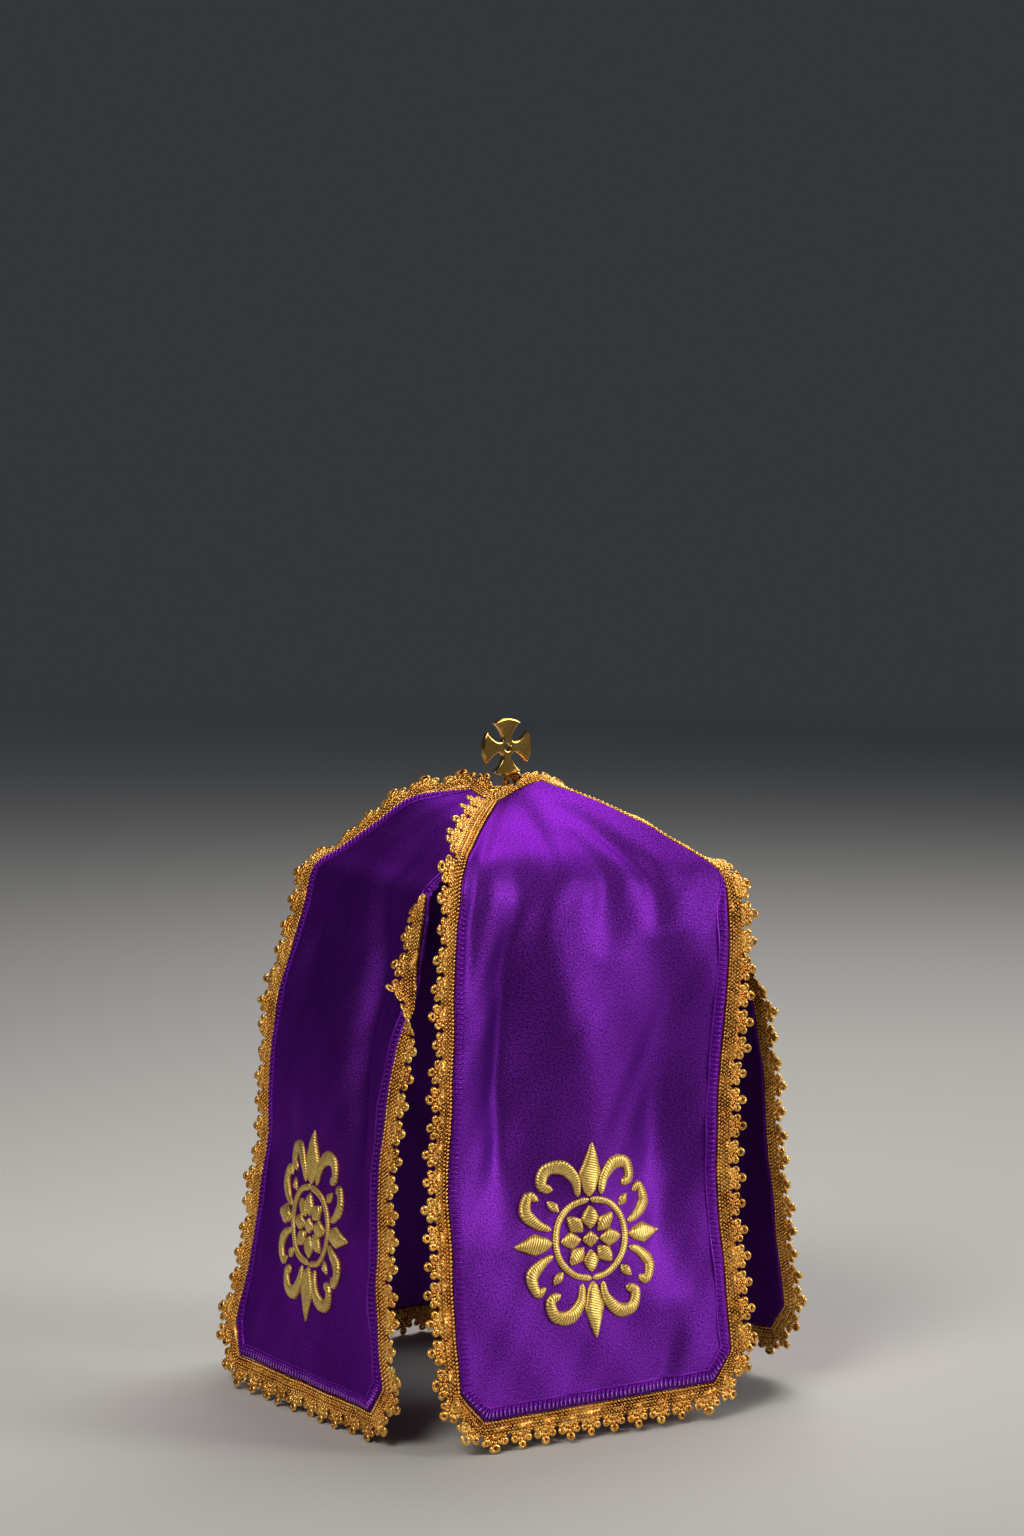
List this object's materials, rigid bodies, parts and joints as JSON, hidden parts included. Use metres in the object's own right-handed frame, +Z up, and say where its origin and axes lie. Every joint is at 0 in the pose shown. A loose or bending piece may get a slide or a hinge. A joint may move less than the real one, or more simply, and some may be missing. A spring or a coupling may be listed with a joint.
{
  "type": "ciborium veil with finial cross",
  "caption": "Hollow purple satin veil of gabled panels edged with gold scalloped lace, hanging from a small lid crown whose finial cross shows above the neck.",
  "frame": {"origin": "on the surface the hem rests on, under the middle of the neck", "axes": "+Z up, -Y out of the front panel, +X to its right as seen from the front"},
  "size_m": [0.178, 0.1664, 0.2434],
  "materials": {
    "satin": "purple satin with a fine crepe grain and a soft sheen",
    "gold_lace": "crocheted metallic gold thread",
    "brass": "polished"
  },
  "bodies": {
    "root": {"panel_front": "satin", "panel_right": "satin", "panel_back": "satin", "panel_left": "satin", "lace_front": "gold_lace", "lace_right": "gold_lace", "lace_back": "gold_lace", "lace_left": "gold_lace", "finial_cross": "brass", "lid_crown": "brass"}
  },
  "joints": []
}
